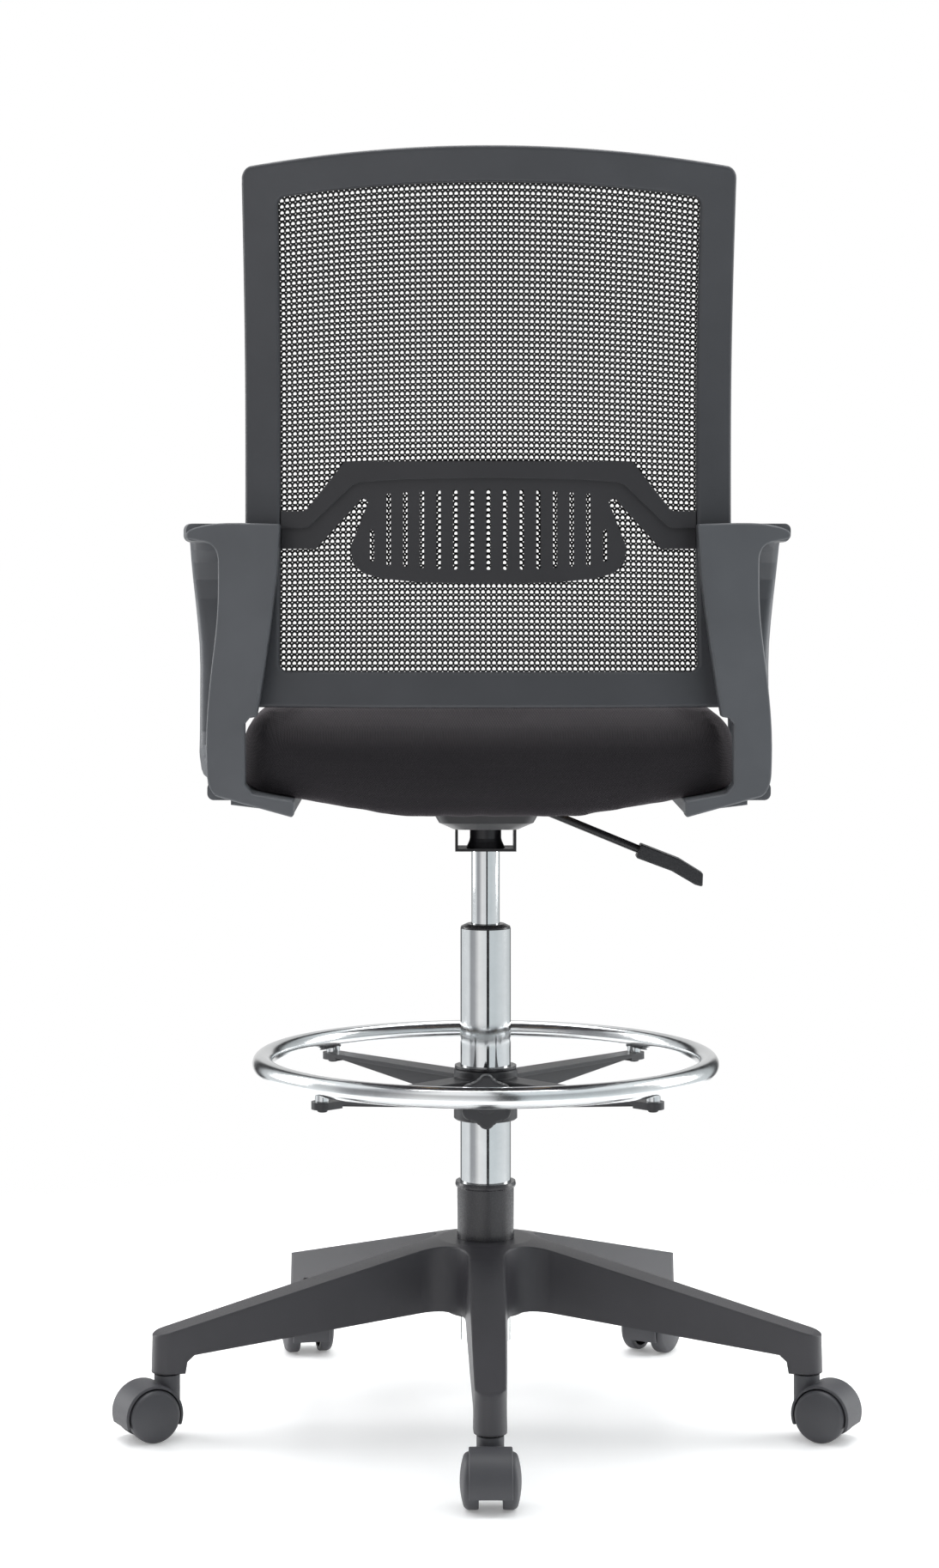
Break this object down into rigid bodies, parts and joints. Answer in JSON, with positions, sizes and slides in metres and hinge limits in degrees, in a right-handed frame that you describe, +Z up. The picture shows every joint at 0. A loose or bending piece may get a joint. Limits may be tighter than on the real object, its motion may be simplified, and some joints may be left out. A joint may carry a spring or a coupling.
{
  "type": "drafting chair",
  "caption": "Tall swivel chair with a mesh back, loop arms, padded seat, gas lift, clamped foot ring and a star base on casters.",
  "frame": {"origin": "on the floor, on the axis of the gas lift", "axes": "+Z up; the chair faces -Y; -X is the sitter's right, where the height lever is"},
  "size_m": [0.7166, 0.6489, 1.216],
  "materials": {
    "base_nylon": "fine matte grain, moulded glass-filled nylon",
    "caster_nylon": "fine matte grain",
    "wheel_nylon": "smooth satin",
    "collar_plastic": "smooth satin black",
    "hub_plastic": "satin black",
    "arm_plastic": "fine matte grain, charcoal polypropylene",
    "back_plastic": "fine matte grain",
    "lumbar_plastic": "fine matte grain",
    "chrome": "mirror polished plating",
    "steel_pins": "turned steel",
    "black_steel": "black powder coat",
    "bumper_rubber": "matte",
    "plywood": "raw moulded plywood",
    "seat_fabric": "woven polyester over foam",
    "mesh_fabric": "open knitted mesh"
  },
  "bodies": {
    "base": {"base_star": "base_nylon", "column_collar": "collar_plastic", "column_tube": "chrome", "guide_bush": "collar_plastic", "thrust_bearing": "steel_pins", "caster_1_stem": "steel_pins", "caster_2_stem": "steel_pins", "caster_3_stem": "steel_pins", "caster_4_stem": "steel_pins", "caster_5_stem": "steel_pins"},
    "lift_rod": {"piston_rod": "chrome", "retaining_clip": "steel_pins", "rubber_bumper": "bumper_rubber"},
    "seat": {"gas_cylinder": "chrome", "seat_plate": "black_steel", "mechanism_pan": "black_steel", "taper_cup": "black_steel", "cup_bracket": "black_steel", "lever_pivot": "black_steel", "seat_bolts": "black_steel", "seat_board": "plywood", "seat_nuts": "steel_pins", "seat_cushion": "seat_fabric", "arm_left": "arm_plastic", "arm_right": "arm_plastic", "arm_bolts": "black_steel", "back_frame": "back_plastic", "mesh_frame": "back_plastic", "back_mesh": "mesh_fabric", "lumbar_support": "lumbar_plastic", "back_screws": "black_steel"},
    "release_pin": {"release_pin": "steel_pins"},
    "lever": {"lever_rod": "black_steel", "lever_handle": "hub_plastic"},
    "ring_bush": {"clamp_bush": "collar_plastic"},
    "foot_ring": {"foot_ring": "chrome", "ring_hub": "hub_plastic", "ring_screws": "black_steel"},
    "clamp_knob": {"clamp_knob": "hub_plastic", "clamp_screw": "steel_pins"},
    "caster_1": {"caster_1_hood": "caster_nylon", "caster_1_axle": "steel_pins"},
    "wheel_1a": {"caster_1_wheel_a": "wheel_nylon"},
    "wheel_1b": {"caster_1_wheel_b": "wheel_nylon"},
    "caster_2": {"caster_2_hood": "caster_nylon", "caster_2_axle": "steel_pins"},
    "wheel_2a": {"caster_2_wheel_a": "wheel_nylon"},
    "wheel_2b": {"caster_2_wheel_b": "wheel_nylon"},
    "caster_3": {"caster_3_hood": "caster_nylon", "caster_3_axle": "steel_pins"},
    "wheel_3a": {"caster_3_wheel_a": "wheel_nylon"},
    "wheel_3b": {"caster_3_wheel_b": "wheel_nylon"},
    "caster_4": {"caster_4_hood": "caster_nylon", "caster_4_axle": "steel_pins"},
    "wheel_4a": {"caster_4_wheel_a": "wheel_nylon"},
    "wheel_4b": {"caster_4_wheel_b": "wheel_nylon"},
    "caster_5": {"caster_5_hood": "caster_nylon", "caster_5_axle": "steel_pins"},
    "wheel_5a": {"caster_5_wheel_a": "wheel_nylon"},
    "wheel_5b": {"caster_5_wheel_b": "wheel_nylon"}
  },
  "joints": [
    {"name": "caster_1_swivel", "type": "hinge", "parent": "base", "child": "caster_1", "pos_m": [0, 0.322, 0.06], "axis": [0, 0, 1], "continuous": true},
    {"name": "caster_1_wheel_a_spin", "type": "hinge", "parent": "caster_1", "child": "wheel_1a", "pos_m": [0, 0.342, 0.025], "axis": [-1, 0, 0], "continuous": true},
    {"name": "caster_1_wheel_b_spin", "type": "hinge", "parent": "caster_1", "child": "wheel_1b", "pos_m": [0, 0.342, 0.025], "axis": [-1, 0, 0], "continuous": true},
    {"name": "caster_2_swivel", "type": "hinge", "parent": "base", "child": "caster_2", "pos_m": [-0.30624, 0.0995, 0.06], "axis": [0, 0, 1], "continuous": true},
    {"name": "caster_2_wheel_a_spin", "type": "hinge", "parent": "caster_2", "child": "wheel_2a", "pos_m": [-0.32406, 0.10858, 0.025], "axis": [-0.454, -0.891, 0], "continuous": true},
    {"name": "caster_2_wheel_b_spin", "type": "hinge", "parent": "caster_2", "child": "wheel_2b", "pos_m": [-0.32406, 0.10858, 0.025], "axis": [-0.454, -0.891, 0], "continuous": true},
    {"name": "caster_3_swivel", "type": "hinge", "parent": "base", "child": "caster_3", "pos_m": [-0.18927, -0.2605, 0.06], "axis": [0, 0, 1], "continuous": true},
    {"name": "caster_3_wheel_a_spin", "type": "hinge", "parent": "caster_3", "child": "wheel_3a", "pos_m": [-0.17882, -0.24345, 0.025], "axis": [-0.8526, 0.5225, 0], "continuous": true},
    {"name": "caster_3_wheel_b_spin", "type": "hinge", "parent": "caster_3", "child": "wheel_3b", "pos_m": [-0.17882, -0.24345, 0.025], "axis": [-0.8526, 0.5225, 0], "continuous": true},
    {"name": "caster_4_swivel", "type": "hinge", "parent": "base", "child": "caster_4", "pos_m": [0.18927, -0.2605, 0.06], "axis": [0, 0, 1], "continuous": true},
    {"name": "caster_4_wheel_a_spin", "type": "hinge", "parent": "caster_4", "child": "wheel_4a", "pos_m": [0.18528, -0.24091, 0.025], "axis": [-0.9799, -0.1994, 0], "continuous": true},
    {"name": "caster_4_wheel_b_spin", "type": "hinge", "parent": "caster_4", "child": "wheel_4b", "pos_m": [0.18528, -0.24091, 0.025], "axis": [-0.9799, -0.1994, 0], "continuous": true},
    {"name": "caster_5_swivel", "type": "hinge", "parent": "base", "child": "caster_5", "pos_m": [0.30624, 0.0995, 0.06], "axis": [0, 0, 1], "continuous": true},
    {"name": "caster_5_wheel_a_spin", "type": "hinge", "parent": "caster_5", "child": "wheel_5a", "pos_m": [0.32406, 0.10858, 0.025], "axis": [-0.454, 0.891, 0], "continuous": true},
    {"name": "caster_5_wheel_b_spin", "type": "hinge", "parent": "caster_5", "child": "wheel_5b", "pos_m": [0.32406, 0.10858, 0.025], "axis": [-0.454, 0.891, 0], "continuous": true},
    {"name": "seat_swivel", "type": "hinge", "parent": "base", "child": "lift_rod", "pos_m": [0, 0, 0.081], "axis": [0, 0, 1], "continuous": true},
    {"name": "seat_height", "type": "slide", "parent": "lift_rod", "child": "seat", "axis": [0, 0, 1], "range_m": [-0.065, 0.135]},
    {"name": "lever_lift", "type": "hinge", "parent": "seat", "child": "lever", "pos_m": [-0.024, 0, 0.59], "axis": [0, 1, 0], "range_deg": [0, 8], "stiffness_Nm_per_rad": 1.5, "springref_deg": -11.46},
    {"name": "release_pin_press", "type": "slide", "parent": "seat", "child": "release_pin", "axis": [0, 0, -1], "range_m": [0, 0.0032]},
    {"name": "ring_height", "type": "slide", "parent": "base", "child": "ring_bush", "axis": [0, 0, 1], "range_m": [-0.055, 0.085]},
    {"name": "ring_turn", "type": "hinge", "parent": "ring_bush", "child": "foot_ring", "pos_m": [0, 0, 0.312], "axis": [0, 0, 1], "continuous": true},
    {"name": "knob_turn", "type": "hinge", "parent": "foot_ring", "child": "clamp_knob", "pos_m": [0, 0.05, 0.314], "axis": [0, 1, 0], "range_deg": [0, 270]}
  ],
  "couplings": [
    {"joint": "release_pin_press", "follows": "lever_lift", "m_per_rad": 0.022}
  ]
}
